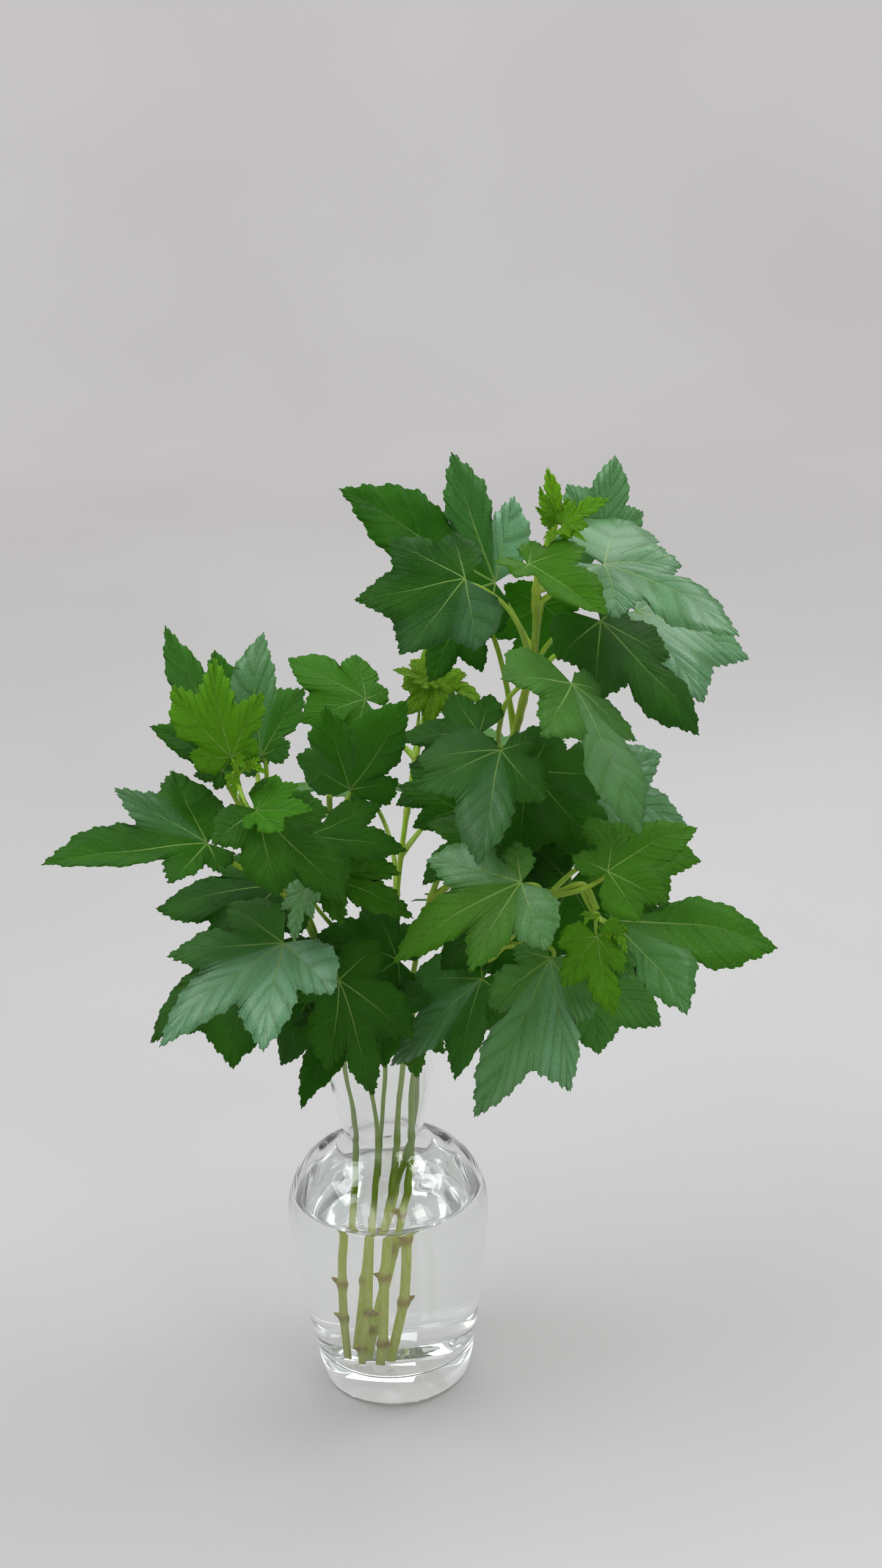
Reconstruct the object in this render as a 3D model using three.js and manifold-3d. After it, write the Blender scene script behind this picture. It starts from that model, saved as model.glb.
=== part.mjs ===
// Leafy raspberry sprigs standing in a clear glass vase of water.
// Millimetres, +Z up. The origin is the centre of the flat foot of the vase.
// The front is -Y, and +X is to the right seen from the front.
import * as THREE from "three";
import { mergeVertices } from "three/addons/utils/BufferGeometryUtils.js";
import Module from "manifold-3d";

const wasm = await Module();
wasm.setup();
const { Manifold, Mesh: SolidMesh } = wasm;

// Vase: outer outline as [radius, height], from the foot up to the mouth
const VASE_HEIGHT = 228;
const FOOT_RADIUS = 37;
const BELLY_RADIUS = 56;
const NECK_RADIUS = 22.2;
const MOUTH_RADIUS = 36.5;
const VASE_OUTLINE = [
  [FOOT_RADIUS, 0], [41.2, 1.6], [43, 7], [46.4, 28], [53.4, 74], [BELLY_RADIUS, 104],
  [54.2, 119], [48.6, 131], [39, 140], [27.6, 146.4], [NECK_RADIUS, 155],
  [23.8, 166], [29, 193], [MOUTH_RADIUS, VASE_HEIGHT],
];
const VASE_WALL = 2.8;
const GLASS_FLOOR = 20;
const VASE_SIDES = 32;

// Water and the holes that the stems stand in
const WATER_LEVEL = 120;
const GAP = 0.35;
const STEM_FOOT = 23;

// Stems and leaf stalks
const STEM_SIDES = 6;
const STALK_SIDES = 3;
const STALK_STEPS = 3;
const STALK_RADIUS = [1.6, 0.8];
const YOUNG_STALK_RADIUS = [1.2, 0.7];
const STALK_REACH = 4;
const STALK_SINK = 0.45;

// Leaf blades. Lengths are shares of the middle lobe, angles are in degrees from it.
const BLADE = 0.8;
// Droop arches the blade, fold raises it away from each vein, and cup raises it away from the middle one.
const MATURE = {
  centres: [0, 50, 112], lengths: [1, 0.76, 0.46], widths: [0.24, 0.27, 0.35],
  sinuses: [0.44, 0.32, 0.15], steps: [5, 3, 2], droop: 0.16, fold: 0.1, cup: 0.06,
};
const BROAD = {
  ...MATURE, lengths: [1, 0.82, 0.52], widths: [0.29, 0.3, 0.38], sinuses: [0.56, 0.42, 0.2],
  droop: 0.2, fold: 0.05, cup: 0,
};
const FOLDED = {
  ...MATURE, widths: [0.22, 0.25, 0.33], sinuses: [0.38, 0.28, 0.14], fold: 0.12, cup: 0.42,
};
const HANGING = { ...FOLDED, cup: 0.27 };
const YOUNG = {
  centres: [0, 42, 95], lengths: [1, 0.72, 0.36], widths: [0.22, 0.24, 0.32],
  sinuses: [0.38, 0.26, 0.12], steps: [3, 2, 1], droop: 0.12, fold: 0.22, cup: 0.2,
};
const NOTCH_ANGLE = 162;
const LOBE_OUTLINE = [[0, 0], [0.22, 0.92], [0.45, 1], [0.68, 0.68], [0.87, 0.26], [1, 0]];
const TOOTH = 0.02;

// Colours of the finishes
const GLASS = { color: 0xe8efec, roughness: 0.05, metalness: 0 };
const WATER = { color: 0xdfe8e4, roughness: 0.05, metalness: 0 };
const LEAF_GREEN = { color: 0x2f6a2c, roughness: 0.45, metalness: 0 };
const SHOOT_GREEN = { color: 0x6fae22, roughness: 0.5, metalness: 0 };

// Each leafy stem: its path from the foot up, its radius at the foot and at the tip, and its leaves.
// A leaf is [share of the stem where its stalk leaves, base, tip, [facing, rise] of its upper side, form].
// Facing is in degrees from the front towards the right, and rise is in degrees above level.
const SPRIGS = {
  a: {
    path: [
      [-6, -6, STEM_FOOT], [5, 0, 120], [12, 4, 155], [25, 9, 222], [60, 16, 325],
      [82, 12, 390], [92, 4, 438], [93, -6, 470], [100, -9, 496],
    ],
    radius: [2.7, 1.5],
    leaves: [
      [0.86, [73, 14, 466], [-2, 0, 522], [-10, 44], MATURE],
      [0.84, [57, -42, 488], [3, -45, 481], [-10, 50], MATURE],
      [0.76, [76, 24, 446], [48, 53, 411], [170, -5], MATURE],
      [0.8, [98, 34, 446], [88, 54, 400], [10, 40], MATURE],
      [0.96, [88, -37, 492], [124, -65, 473], [0, 76], HANGING],
      [0.94, [129, 37, 473], [138, 60, 516], [32, 28], MATURE],
      [0.92, [126, -16, 483], [189, -50, 455], [11, 86], MATURE],
      [0.82, [145, 26, 443], [189, -12, 385], [29, 49], BROAD],
      [0.78, [124, -14, 453], [174, -28, 394], [-19, 68], MATURE],
      [0.7, [106, -62, 439], [138, -100, 374], [52, 32], MATURE],
    ],
  },
  b: {
    path: [
      [-17, -16, STEM_FOOT], [-18, -8, 120], [-15.2, -3, 155], [-20, -12, 220],
      [-30, -38, 300], [-48, -52, 345], [-58, -60, 388],
    ],
    radius: [2.5, 1.5],
    leaves: [
      [0.95, [-58, -28, 396], [-94, -4, 459], [-40, 30], MATURE],
      [0.93, [-47, -50, 404], [-44, -28, 462], [-20, 28], MATURE],
      [0.9, [-70, -63, 397], [-105, -71, 422], [-10, 50], MATURE],
      [0.82, [-75, -72, 368], [-152, -100, 374], [-12, 58], HANGING],
      [0.84, [-48, -84, 390], [-7, -108, 348], [0, 48], MATURE],
      [0.7, [-44, -36, 325], [-109, -28, 313], [-10, 62], MATURE],
      [0.67, [-41, -81, 316], [-103, -115, 282], [-18, 60], BROAD],
      [0.52, [-54, -42, 295], [-118, -58, 251], [-30, 50], BROAD],
    ],
  },
  c: {
    path: [
      [3, -15, STEM_FOOT], [10, -9, 120], [14.2, -7, 155], [18, -10, 195], [27, -17, 232],
      [58, -46, 278], [92, -78, 332], [108, -88, 343], [114, -90, 331],
    ],
    radius: [2.6, 1.6],
    leaves: [
      [0.82, [77, -103, 354], [14, -108, 315], [-11, 62], MATURE],
      [0.92, [119, -100, 356], [165, -82, 371], [-4, 62], MATURE],
      [0.88, [122, -62, 350], [169, -56, 340], [10, 55], MATURE],
      [0.96, [121, -90, 324], [203, -91, 305], [10, 60], MATURE],
      [0.78, [91, -86, 303], [50, -104, 224], [-36, 38], HANGING],
      [0.72, [108, -56, 278], [148, -60, 245], [10, 45], BROAD],
      [0.66, [57, -56, 277], [8, -54, 226], [-3, 66], MATURE],
    ],
  },
  d: {
    path: [
      [-12, 3, STEM_FOOT], [-6, 9, 120], [-3, 11, 155], [4, 18, 215],
      [16, 34, 298], [26, 58, 345], [36, 78, 376],
    ],
    radius: [2.4, 1.5],
    leaves: [
      [0.9, [2, 74, 382], [-42, 86, 398], [-24, 68], MATURE],
      [0.82, [30, 104, 368], [34, 148, 382], [180, 45], MATURE],
      [0.76, [60, 84, 340], [112, 112, 338], [120, 50], MATURE],
      [0.7, [-2, 78, 330], [-56, 112, 312], [210, 50], BROAD],
      [0.62, [54, 70, 258], [84, 116, 226], [150, 45], BROAD],
      [0.62, [-18, 52, 285], [-72, 62, 246], [230, 50], BROAD],
    ],
  },
  e: {
    path: [
      [-1, -19, STEM_FOOT], [2, -10, 120], [4, -9, 155], [14, -12, 215],
      [28, -16, 290], [44, -20, 335], [64, -28, 376], [72, -34, 396],
    ],
    radius: [2.5, 1.5],
    leaves: [
      [0.97, [71, -55, 403], [56, -104, 365], [-6, 41], BROAD],
      [0.93, [61, -30, 402], [16, -10, 390], [-20, 55], MATURE],
      [0.88, [86, -24, 378], [118, -36, 350], [10, 50], MATURE],
      [0.8, [118, 4, 350], [170, 12, 329], [10, 50], MATURE],
      [0.74, [64, -36, 346], [29, -60, 342], [-10, 50], MATURE],
      [0.66, [49, -8, 351], [18, 2, 362], [-20, 55], MATURE],
      [0.68, [84, -34, 326], [106, -26, 354], [10, 45], YOUNG],
      [0.42, [21, -40, 246], [25, -46, 209], [0, 40], YOUNG],
    ],
  },
  f: {
    path: [
      [-9, -23, STEM_FOOT], [-9, -15, 120], [-7, -13, 155], [-10, -18, 215],
      [-14, -24, 290], [-17, -30, 340], [-16, -30, 372],
    ],
    radius: [2.4, 1.5],
    leaves: [
      [0.95, [-6, -10, 366], [26, -34, 423], [-5, 35], MATURE],
      [0.9, [-26, -60, 364], [24, -68, 352], [6, 55], MATURE],
      [0.76, [-22, -68, 346], [24, -86, 325], [0, 50], YOUNG],
      [0.66, [-15, -78, 292], [-2, -94, 232], [0, 38], MATURE],
      [0.5, [0, -46, 264], [-35, -92, 233], [-30, 38], MATURE],
      [0.72, [19, -30, 314], [-13, -52, 276], [0, 40], BROAD],
    ],
  },
};

// Young pale shoots at the tips: the joint that they grow from, and their small leaves as base, tip, facing.
const SHOOTS = {
  a: {
    joint: [101, -10, 500],
    leaves: [
      [[100, -8, 508], [99, -4, 534], [0, 20], YOUNG],
      [[104, -16, 506], [130, -26, 516], [20, 50], YOUNG],
      [[96, -14, 506], [84, -24, 520], [-30, 40], YOUNG],
    ],
  },
  b: {
    joint: [-59, -63, 392],
    leaves: [
      [[-60, -70, 412], [-66, -64, 458], [-5, 36], YOUNG],
      [[-46, -84, 404], [-30, -98, 378], [15, 45], YOUNG],
    ],
  },
  c: {
    joint: [114, -96, 328],
    leaves: [
      [[113, -116, 325], [121, -136, 290], [0, 45], YOUNG],
      [[103, -112, 320], [88, -118, 304], [-50, 45], YOUNG],
    ],
  },
  d: {
    joint: [38, 79, 380],
    leaves: [
      [[34, 86, 384], [14, 90, 390], [-20, 40], YOUNG],
      [[43, 86, 384], [70, 88, 370], [20, 50], YOUNG],
      [[38, 92, 388], [36, 96, 404], [0, 20], YOUNG],
    ],
  },
};

function solid(positions) {
  // A closed solid from loose triangles, whose shared corners are merged.
  const geometry = new THREE.BufferGeometry();
  geometry.setAttribute("position", new THREE.Float32BufferAttribute(positions, 3));
  const merged = mergeVertices(geometry, 1e-3);
  return new Manifold(new SolidMesh({
    numProp: 3,
    vertProperties: merged.attributes.position.array,
    triVerts: new Uint32Array(merged.index.array),
  }));
}

function fromGeometry(geometry) {
  const plain = geometry.clone();
  plain.deleteAttribute("normal");
  plain.deleteAttribute("uv");
  return solid(plain.toNonIndexed().attributes.position.array);
}

function toGeometry(manifold) {
  const { vertProperties, triVerts } = manifold.getMesh();
  const geometry = new THREE.BufferGeometry();
  geometry.setAttribute("position", new THREE.Float32BufferAttribute(vertProperties, 3));
  geometry.setIndex(new THREE.Uint32BufferAttribute(triVerts, 1));
  const flat = geometry.toNonIndexed();
  flat.computeVertexNormals();
  return flat;
}

function smoothOutline(points, steps) {
  return new THREE.SplineCurve(points.map(([x, y]) => new THREE.Vector2(x, y))).getPoints(steps);
}

function lathe(outline, sides) {
  // The outline goes from the axis to the axis, bottom first, so the faces point out.
  const geometry = new THREE.LatheGeometry(outline.map(([r, z]) => new THREE.Vector2(r, z)), sides);
  geometry.rotateX(Math.PI / 2);
  return fromGeometry(geometry);
}

function innerRadius(height) {
  // The outer outline at a height, less the wall.
  const above = VASE_OUTLINE.findIndex(([, z]) => z >= height);
  const [r1, z1] = VASE_OUTLINE[above];
  const [r0, z0] = VASE_OUTLINE[Math.max(above - 1, 0)];
  return r0 + ((r1 - r0) * (height - z0)) / Math.max(z1 - z0, 1e-6) - VASE_WALL;
}

function insideOutline(top, inset) {
  // The inner wall from a rounded floor up to a height, drawn in by inset.
  const floor = GLASS_FLOOR + inset;
  const corner = 6;
  const heights = VASE_OUTLINE.map(([, z]) => z).filter((z) => z > floor + corner && z < top);
  return [
    [0, floor],
    [innerRadius(floor) - corner - inset, floor],
    [innerRadius(floor) - 1.8 - inset, floor + 1.8],
    [innerRadius(floor + corner) - inset, floor + corner],
    ...heights.map((z) => [innerRadius(z) - inset, z]),
    [innerRadius(top) - inset, top],
  ];
}

function vaseSolid() {
  const rim = [[MOUTH_RADIUS - VASE_WALL / 2, VASE_HEIGHT + 1]];
  const inside = insideOutline(VASE_HEIGHT, 0).reverse();
  return lathe([[0, 0], ...VASE_OUTLINE, ...rim, ...inside], VASE_SIDES);
}

function vectors(points) {
  return points.map((p) => new THREE.Vector3(...p));
}

function tubeSolid(points, radiusAt, sides, steps) {
  // A closed tube along a smooth curve, with one ring of corners at each step.
  const curve = new THREE.CatmullRomCurve3(points, false, "centripetal");
  const { normals, binormals } = curve.computeFrenetFrames(steps);
  const rings = [];
  for (let i = 0; i <= steps; i += 1) {
    const centre = curve.getPointAt(i / steps);
    const ring = [];
    for (let j = 0; j < sides; j += 1) {
      const angle = (2 * Math.PI * j) / sides;
      const out = normals[i].clone().multiplyScalar(Math.cos(angle));
      out.addScaledVector(binormals[i], Math.sin(angle));
      ring.push(centre.clone().addScaledVector(out, radiusAt(i / steps)));
    }
    rings.push(ring);
  }
  const positions = [];
  const face = (...corners) => corners.forEach((p) => positions.push(p.x, p.y, p.z));
  for (let i = 0; i < steps; i += 1) {
    for (let j = 0; j < sides; j += 1) {
      const k = (j + 1) % sides;
      face(rings[i][j], rings[i][k], rings[i + 1][k]);
      face(rings[i][j], rings[i + 1][k], rings[i + 1][j]);
    }
  }
  const first = rings[0];
  const last = rings[steps];
  for (let j = 1; j < sides - 1; j += 1) {
    face(first[0], first[j + 1], first[j]);
    face(last[0], last[j], last[j + 1]);
  }
  return solid(positions);
}

function sinusAngle(form, sinus) {
  // Halfway between two lobes, and the notch at the leaf's base after the last lobe.
  const { centres } = form;
  return sinus + 1 < centres.length ? (centres[sinus] + centres[sinus + 1]) / 2 : NOTCH_ANGLE;
}

function halfLobe(form, lobe, sinus, side) {
  // Flat triangles between the vein of a lobe and one margin, for a middle lobe of length 1.
  const centre = THREE.MathUtils.degToRad(form.centres[lobe]);
  const length = form.lengths[lobe];
  const width = form.widths[lobe] * length;
  const steps = form.steps[lobe];
  const sinusRadius = form.sinuses[sinus];
  const offset = THREE.MathUtils.degToRad(sinusAngle(form, sinus)) - centre;
  const turn = Math.sign(offset);
  const start = [sinusRadius * Math.cos(offset), sinusRadius * Math.abs(Math.sin(offset))];
  const shape = LOBE_OUTLINE.map(([along, out], i) => (
    i === 0 ? start : [start[0] + (length - start[0]) * along, out * width]));
  const margin = smoothOutline(shape, steps);
  const place = (along, out) => {
    const x = along * Math.cos(centre) - turn * out * Math.sin(centre);
    const y = along * Math.sin(centre) + turn * out * Math.cos(centre);
    return [x, side * y];
  };
  const veins = [];
  const edges = [];
  for (let i = 0; i <= steps; i += 1) {
    const tooth = i > 0 && i < steps && i % 2 === 0 ? TOOTH : 0;
    veins.push(place((length * i) / steps, 0));
    edges.push(place(margin[i].x - tooth, margin[i].y - tooth));
  }
  const triangles = [];
  for (let i = 0; i < steps; i += 1) {
    triangles.push([veins[i], edges[i], edges[i + 1]]);
    if (i < steps - 1) triangles.push([veins[i], edges[i + 1], veins[i + 1]]);
  }
  return triangles;
}

function flatLeaf(form) {
  // All the lobes of a leaf as flat triangles that run anticlockwise.
  const triangles = [];
  for (const side of [1, -1]) {
    form.centres.forEach((_, lobe) => {
      if (lobe > 0) triangles.push(...halfLobe(form, lobe, lobe - 1, side));
      triangles.push(...halfLobe(form, lobe, lobe, side));
    });
  }
  return triangles.map((t) => {
    const area = (t[1][0] - t[0][0]) * (t[2][1] - t[0][1]) - (t[2][0] - t[0][0]) * (t[1][1] - t[0][1]);
    return area > 0 ? t : [t[0], t[2], t[1]];
  });
}

function veinDistance(form, x, y) {
  // Distance to the nearest lobe vein.
  const distances = form.centres.map((degrees, lobe) => {
    const angle = THREE.MathUtils.degToRad(degrees);
    const along = x * Math.cos(angle) + Math.abs(y) * Math.sin(angle);
    const reach = THREE.MathUtils.clamp(along, 0, form.lengths[lobe]);
    return Math.hypot(x - reach * Math.cos(angle), Math.abs(y) - reach * Math.sin(angle));
  });
  return Math.min(...distances);
}

function leafAxes(base, tip, [facing, rise]) {
  // Directions along the middle vein, to the left of it and out of the upper side.
  const along = tip.clone().sub(base);
  const length = along.length();
  along.normalize();
  const azimuth = THREE.MathUtils.degToRad(facing);
  const height = THREE.MathUtils.degToRad(rise);
  const up = new THREE.Vector3(
    Math.sin(azimuth) * Math.cos(height), -Math.cos(azimuth) * Math.cos(height), Math.sin(height));
  up.addScaledVector(along, -up.dot(along)).normalize();
  return { along, across: up.clone().cross(along), up, length };
}

function bladeSolid(base, tip, facing, form) {
  // A thin blade that arches along its middle, folds up from each vein and cups about the middle one.
  const { along, across, up, length } = leafAxes(base, tip, facing);
  const place = ([x, y], side) => {
    const arch = form.droop * (x - x * x - y * y);
    const rise = arch + form.fold * veinDistance(form, x, y) + form.cup * Math.abs(y);
    return base.clone().addScaledVector(along, x * length).addScaledVector(across, y * length)
      .addScaledVector(up, rise * length + (side * BLADE) / 2);
  };
  const positions = [];
  const face = (...corners) => corners.forEach((p) => positions.push(p.x, p.y, p.z));
  const key = ([x, y]) => `${x.toFixed(5)},${y.toFixed(5)}`;
  const triangles = flatLeaf(form);
  const edges = new Set(triangles.flatMap((t) => t.map((p, i) => `${key(p)} ${key(t[(i + 1) % 3])}`)));
  for (const t of triangles) {
    face(...t.map((p) => place(p, 1)));
    face(...[t[0], t[2], t[1]].map((p) => place(p, -1)));
    t.forEach((p, i) => {
      const q = t[(i + 1) % 3];
      if (edges.has(`${key(q)} ${key(p)}`)) return;
      face(place(p, -1), place(q, -1), place(q, 1));
      face(place(p, -1), place(q, 1), place(p, 1));
    });
  }
  return solid(positions);
}

function stalkSolid(root, base, tip, facing, form, [thick, thin]) {
  // A curved stalk from its root on the stem to the leaf's underside, arriving from below and behind.
  const { along, up, length } = leafAxes(base, tip, facing);
  const span = root.distanceTo(base);
  const reach = STALK_REACH / length;
  const lift = form.droop * (reach - reach * reach) * length - STALK_SINK;
  const end = base.clone().addScaledVector(along, STALK_REACH).addScaledVector(up, lift);
  const bend = base.clone().addScaledVector(along, -0.3 * span).addScaledVector(up, -0.3 * span);
  const middle = new THREE.QuadraticBezierCurve3(root, bend, end).getPoints(STALK_STEPS);
  return tubeSolid(middle, (t) => thick + (thin - thick) * t, STALK_SIDES, STALK_STEPS);
}

function stemCurve(sprig) {
  return new THREE.CatmullRomCurve3(vectors(sprig.path), false, "centripetal");
}

function stemSolid(sprig, grow) {
  const [foot, tip] = sprig.radius;
  const steps = 2 * (sprig.path.length - 1);
  return tubeSolid(vectors(sprig.path), (t) => foot + (tip - foot) * t + grow, STEM_SIDES, steps);
}

function sprigSolid(sprig) {
  const curve = stemCurve(sprig);
  const pieces = [stemSolid(sprig, 0)];
  for (const [share, base, tip, facing, form] of sprig.leaves) {
    const [from, to] = vectors([base, tip]);
    const radius = form === YOUNG ? YOUNG_STALK_RADIUS : STALK_RADIUS;
    pieces.push(stalkSolid(curve.getPointAt(share), from, to, facing, form, radius));
    pieces.push(bladeSolid(from, to, facing, form));
  }
  return Manifold.union(pieces);
}

function shootSolid(shoot) {
  const joint = new THREE.Vector3(...shoot.joint);
  const pieces = [];
  for (const [base, tip, facing, form] of shoot.leaves) {
    const [from, to] = vectors([base, tip]);
    pieces.push(stalkSolid(joint, from, to, facing, form, YOUNG_STALK_RADIUS));
    pieces.push(bladeSolid(from, to, facing, form));
  }
  return Manifold.union(pieces);
}

function holeSolid(sprig) {
  // The room that a stem takes in the water, open at the surface and a gap deeper than the foot.
  const [[x, y, z], ...rest] = sprig.path;
  return stemSolid({ ...sprig, path: [[x, y, z - GAP], ...rest] }, GAP);
}

function waterSolid() {
  const outline = insideOutline(WATER_LEVEL, GAP);
  const body = lathe([...outline, [0, WATER_LEVEL]], VASE_SIDES);
  return body.subtract(Manifold.union(Object.values(SPRIGS).map(holeSolid)));
}

function named(name, manifold, finish) {
  const mesh = new THREE.Mesh(toGeometry(manifold), new THREE.MeshStandardMaterial(finish));
  mesh.name = name;
  return mesh;
}

const group = new THREE.Group();
group.name = "raspberry_sprigs_in_vase";
group.add(named("vase", vaseSolid(), GLASS));
group.add(named("water", waterSolid(), WATER));
for (const [letter, sprig] of Object.entries(SPRIGS)) {
  group.add(named(`sprig_${letter}`, sprigSolid(sprig), LEAF_GREEN));
}
for (const [letter, shoot] of Object.entries(SHOOTS)) {
  group.add(named(`shoot_${letter}`, shootSolid(shoot), SHOOT_GREEN));
}

export default group;
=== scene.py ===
"""Leafy raspberry sprigs standing in a clear glass vase of water.

Metres, +Z up, front at -Y. Sizes that are typed in millimetres pass through mm().
"""
import math
import random

import bpy
import numpy as np
from mathutils import Euler, Matrix, Vector


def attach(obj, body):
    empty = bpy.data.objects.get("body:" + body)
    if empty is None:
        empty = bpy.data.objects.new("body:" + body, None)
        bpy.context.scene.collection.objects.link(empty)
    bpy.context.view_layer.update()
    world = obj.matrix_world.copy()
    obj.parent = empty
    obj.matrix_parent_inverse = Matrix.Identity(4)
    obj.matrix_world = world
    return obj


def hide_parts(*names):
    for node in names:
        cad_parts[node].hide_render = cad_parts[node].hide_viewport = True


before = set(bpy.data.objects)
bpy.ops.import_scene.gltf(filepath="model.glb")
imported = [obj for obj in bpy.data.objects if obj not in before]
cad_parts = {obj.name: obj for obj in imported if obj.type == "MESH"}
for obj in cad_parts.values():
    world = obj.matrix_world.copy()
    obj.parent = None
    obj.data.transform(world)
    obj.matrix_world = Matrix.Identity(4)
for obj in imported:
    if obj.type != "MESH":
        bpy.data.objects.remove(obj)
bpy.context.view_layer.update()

# Vase, in millimetres: outer outline as (radius, height) from the foot up to the mouth, wall and glass
# floor, how far the water bites into the glass and climbs it, and how uneven the glass is
VASE_OUTLINE = [
    (37, 0), (41.2, 1.6), (43, 7), (46.4, 28), (53.4, 74), (56, 104), (54.2, 119), (48.6, 131),
    (39, 140), (27.6, 146.4), (22.2, 155), (23.8, 166), (29, 193), (36.5, 228),
]
VASE_WALL = 2.8
GLASS_FLOOR = 20
FLOOR_CORNER = 6
WATER_LEVEL = 120
WATER_BITE = 0.25
MENISCUS = 1.6
MENISCUS_WIDTH = 1.8
SKIN_RINGS = 16
VASE_SIDES = 128
OUTER_STRAY = 0.12
RIM_STRAY = 0.1
INNER_STRAY = 0.4

# Stems, stalks and blades, in millimetres. Stem levels are the heights where a stem's radius is given.
STEM_FOOT = 23
STEM_SIDES = 14
STALK_SIDES = 10
STEM_CUTS = 200
STEM_SPACING = 1.5
STALK_SPACING = 1.2
JOINT_WIDTH = 3
WET_JOINT_WIDTH = 2.6
BEND = 1.4
STUB = 4.8
STEM_LEVELS = (120, 180, 330)
STALK_REACH = 4
STALK_SINK = 0.55
BLADE = 0.34
VEIN_RIDGE = 0.45

# Leaf forms. Lobes are the angle in degrees and the length, as a share of the middle lobe, of each lobe
# from right to left. Widths, notches and ribs (side veins on each half of a lobe) are for the middle, the
# next and the outer lobes. Notches are shares of the shorter lobe beside them. Droop arches the blade,
# fold raises it away from each main vein, cup raises it away from the middle one and shingle lifts the
# left half of each lobe over the right half of the next. Scallop and tooth are the depths of the teeth.
MATURE = dict(
    lobes=((-112, 0.46), (-50, 0.76), (0, 1), (50, 0.76), (112, 0.46)), widths=(0.23, 0.26, 0.35),
    notches=(0.64, 0.7, 0.4), ribs=(6, 5, 4), droop=0.16, fold=0.08, cup=0.06, shingle=0.14,
    scallop=0.022, tooth=0.011, stalk=(1.5, 0.95),
)
DEEP = dict(MATURE, widths=(0.27, 0.3, 0.37), notches=(0.5, 0.62, 0.36))
BROAD = dict(
    MATURE, lobes=((-112, 0.52), (-50, 0.82), (0, 1), (50, 0.82), (112, 0.52)), widths=(0.25, 0.29, 0.38),
    notches=(0.78, 0.82, 0.46), droop=0.2, fold=0.05, cup=0,
)
WIDE = dict(BROAD, widths=(0.33, 0.34, 0.42))
HANGING = dict(BROAD, fold=0.1, cup=0.25, droop=0.16)
FOLDED = dict(MATURE, fold=0.1, cup=0.22)
YOUNG = dict(
    lobes=((-95, 0.36), (-42, 0.72), (0, 1), (42, 0.72), (95, 0.36)), widths=(0.22, 0.24, 0.32),
    notches=(0.53, 0.72, 0.33), ribs=(5, 4, 2), droop=0.12, fold=0.22, cup=0.2, shingle=0.1,
    scallop=0.036, tooth=0.018, stalk=(1.15, 0.65),
)
TENDER = dict(YOUNG, widths=(0.26, 0.28, 0.38), notches=(0.68, 0.78, 0.5), fold=0.12, cup=0.12)
BUD = dict(
    YOUNG, lobes=((-58, 0.34), (-27, 0.62), (0, 1), (27, 0.62), (58, 0.34)), widths=(0.15, 0.17, 0.26),
    fold=0.4, cup=0.3, shingle=0.2,
)


def own(form, *values):
    """A form with one leaf's own side lobes: the angle and length of each, from right to left."""
    pairs = list(zip(values[::2], values[1::2]))
    return dict(form, lobes=(*pairs[:2], (0, 1), *pairs[2:]))


NOTCH_ANGLE = 162
EVEN_GAP = 50
LOBE_SHAPE = ((0, 0.3), (0.2, 0.72), (0.4, 0.95), (0.55, 1), (0.7, 0.86), (0.85, 0.48), (0.94, 0.18), (1, 0))

# Where the columns of half a lobe lie between its vein, 0, and margin, 1, and where the rows cut a tooth
COLUMNS = (0, 0.05, 0.3, 0.64, 1)
TOOTH_CUTS = (0, 0.45, 0.8)
TEETH_PER_RIB = 3
RIB_ARCH = 0.03
VEIN_HALF_WIDTH = 0.006

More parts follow.
